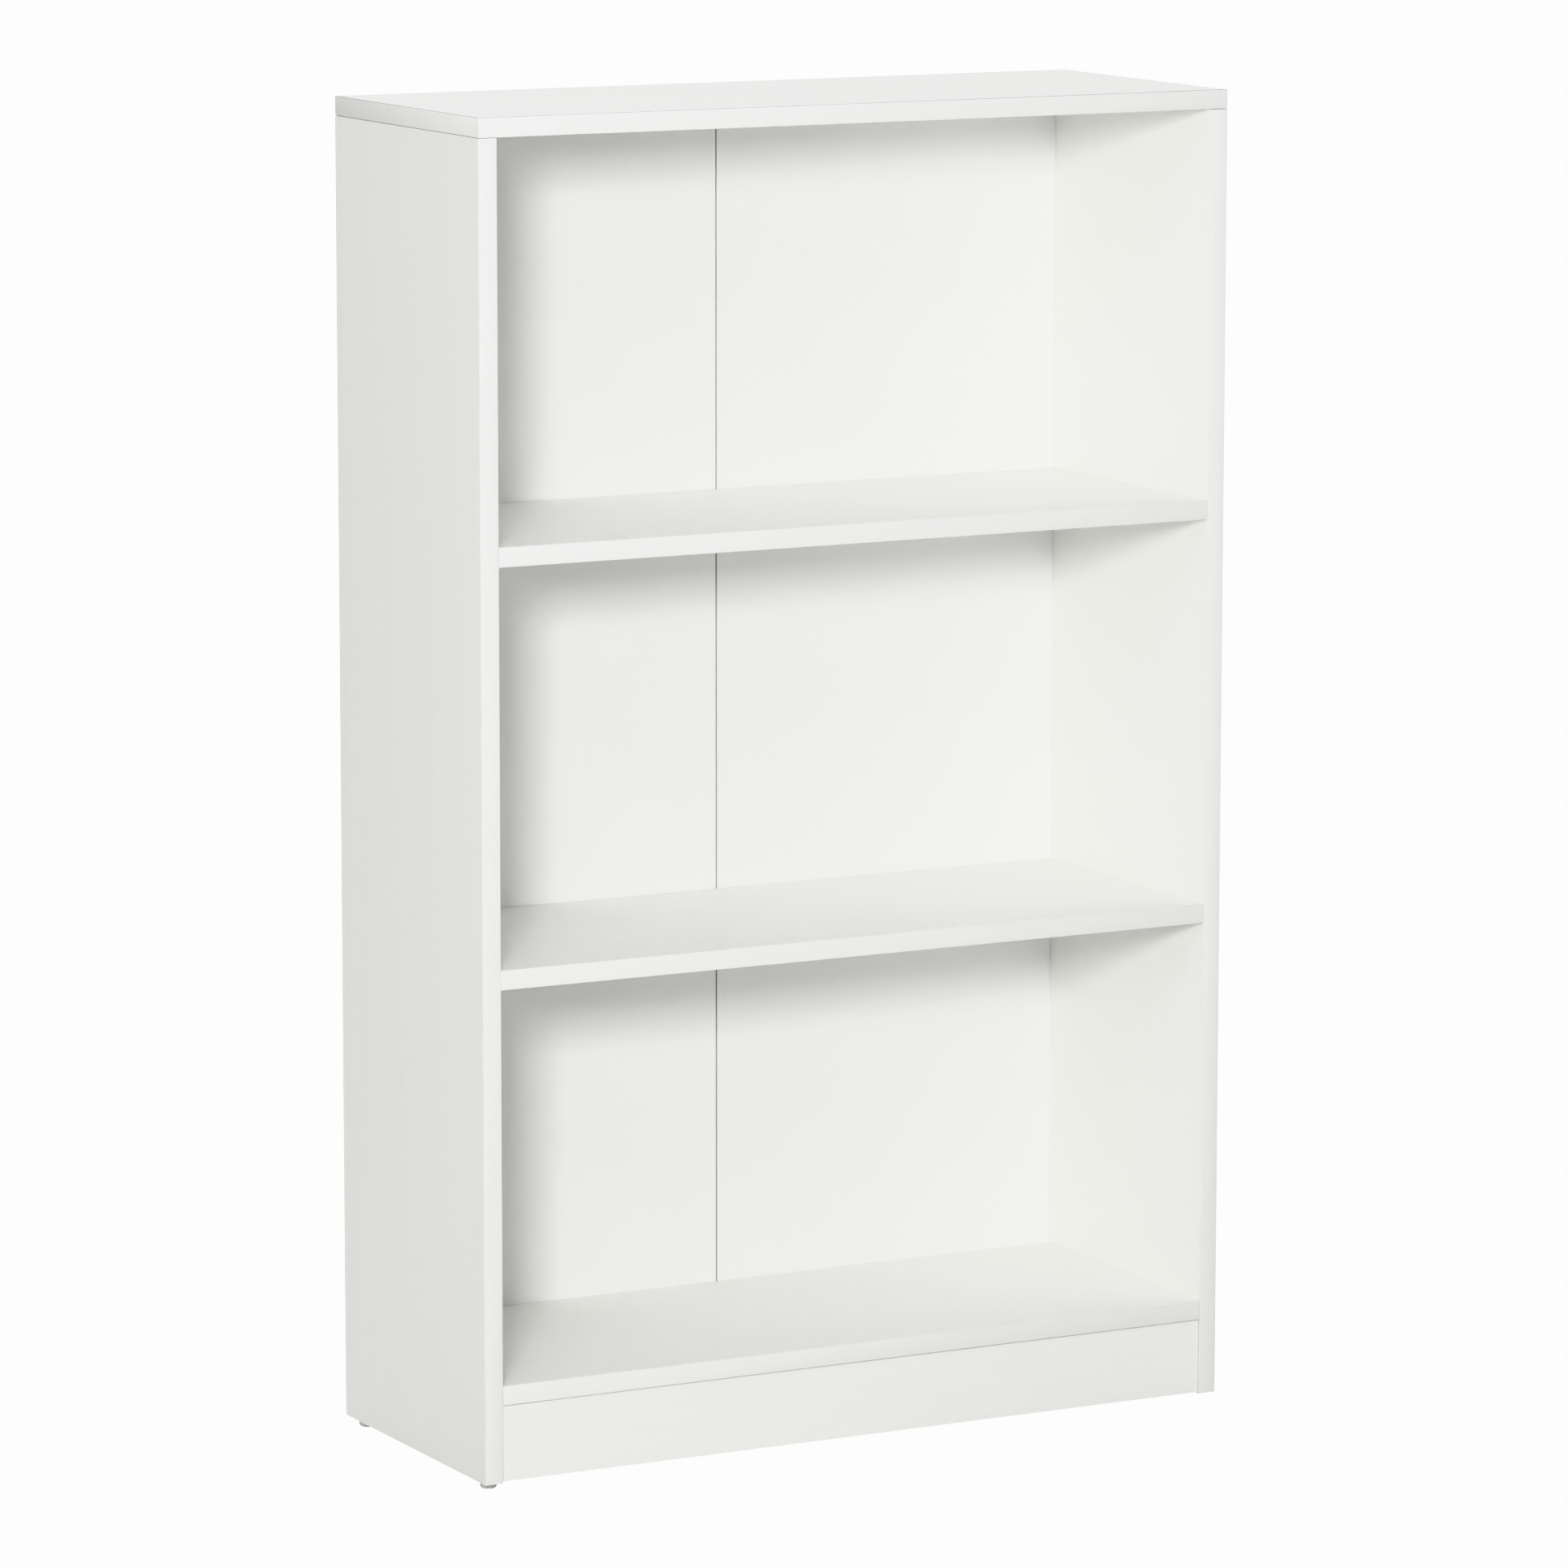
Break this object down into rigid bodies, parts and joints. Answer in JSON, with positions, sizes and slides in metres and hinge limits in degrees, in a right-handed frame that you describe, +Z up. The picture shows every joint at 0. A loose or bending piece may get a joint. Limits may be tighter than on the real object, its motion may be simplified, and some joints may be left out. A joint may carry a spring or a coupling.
{
  "type": "bookcase",
  "caption": "Tall open bookcase with equal compartments between flush sides, an overlying top, a plinth board, a thin back with a centre seam, and nailed glides.",
  "frame": {"origin": "on the floor under the middle of the bookcase's width and depth, at the height of the glides' flat feet", "axes": "+X to the right seen from the front, +Y to the back, +Z up; the open front faces -Y"},
  "size_m": [0.69, 0.272, 1.115],
  "materials": {
    "white_melamine": "chipboard faced with satin white melamine",
    "white_hardboard": "thin hardboard, lacquered white in front, bare brown behind",
    "edge_band": "satin white plastic edge band, a little cooler than the board",
    "seam_tape": "paper tape glued over the back's seam",
    "beech": "bare beech dowel",
    "cam_zinc": "die-cast zinc, dull grey",
    "plated_steel": "zinc-plated steel",
    "glide_plastic": "moulded grey plastic, matt"
  },
  "bodies": {
    "root": {"top_panel": "white_melamine", "left_side_panel": "white_melamine", "right_side_panel": "white_melamine", "upper_shelf": "white_melamine", "lower_shelf": "white_melamine", "bottom_panel": "white_melamine", "plinth_board": "white_melamine", "left_back_panel": "white_hardboard", "right_back_panel": "white_hardboard", "back_seam_tape": "seam_tape", "top_front_band": "edge_band", "top_left_band": "edge_band", "top_right_band": "edge_band", "left_side_band": "edge_band", "right_side_band": "edge_band", "upper_shelf_band": "edge_band", "lower_shelf_band": "edge_band", "bottom_panel_band": "edge_band", "glide_front_left": "glide_plastic", "glide_front_right": "glide_plastic", "glide_rear_left": "glide_plastic", "glide_rear_right": "glide_plastic", "cam_lock_bottom_panel_front_left": "cam_zinc", "cam_lock_bottom_panel_front_right": "cam_zinc", "cam_lock_bottom_panel_rear_left": "cam_zinc", "cam_lock_bottom_panel_rear_right": "cam_zinc", "cam_lock_lower_shelf_front_left": "cam_zinc", "cam_lock_lower_shelf_front_right": "cam_zinc", "cam_lock_lower_shelf_rear_left": "cam_zinc", "cam_lock_lower_shelf_rear_right": "cam_zinc", "cam_lock_upper_shelf_front_left": "cam_zinc", "cam_lock_upper_shelf_front_right": "cam_zinc", "cam_lock_upper_shelf_rear_left": "cam_zinc", "cam_lock_upper_shelf_rear_right": "cam_zinc", "cam_bolt_bottom_panel_front_left": "plated_steel", "cam_bolt_bottom_panel_front_right": "plated_steel", "cam_bolt_bottom_panel_rear_left": "plated_steel", "cam_bolt_bottom_panel_rear_right": "plated_steel", "cam_bolt_lower_shelf_front_left": "plated_steel", "cam_bolt_lower_shelf_front_right": "plated_steel", "cam_bolt_lower_shelf_rear_left": "plated_steel", "cam_bolt_lower_shelf_rear_right": "plated_steel", "cam_bolt_upper_shelf_front_left": "plated_steel", "cam_bolt_upper_shelf_front_right": "plated_steel", "cam_bolt_upper_shelf_rear_left": "plated_steel", "cam_bolt_upper_shelf_rear_right": "plated_steel", "dowel_bottom_panel_left": "beech", "dowel_bottom_panel_right": "beech", "dowel_lower_shelf_left": "beech", "dowel_lower_shelf_right": "beech", "dowel_upper_shelf_left": "beech", "dowel_upper_shelf_right": "beech", "dowel_top_front_left": "beech", "dowel_top_front_right": "beech", "dowel_top_rear_left": "beech", "dowel_top_rear_right": "beech", "dowel_plinth_lower_left": "beech", "dowel_plinth_lower_right": "beech", "dowel_plinth_upper_left": "beech", "dowel_plinth_upper_right": "beech"}
  },
  "joints": []
}
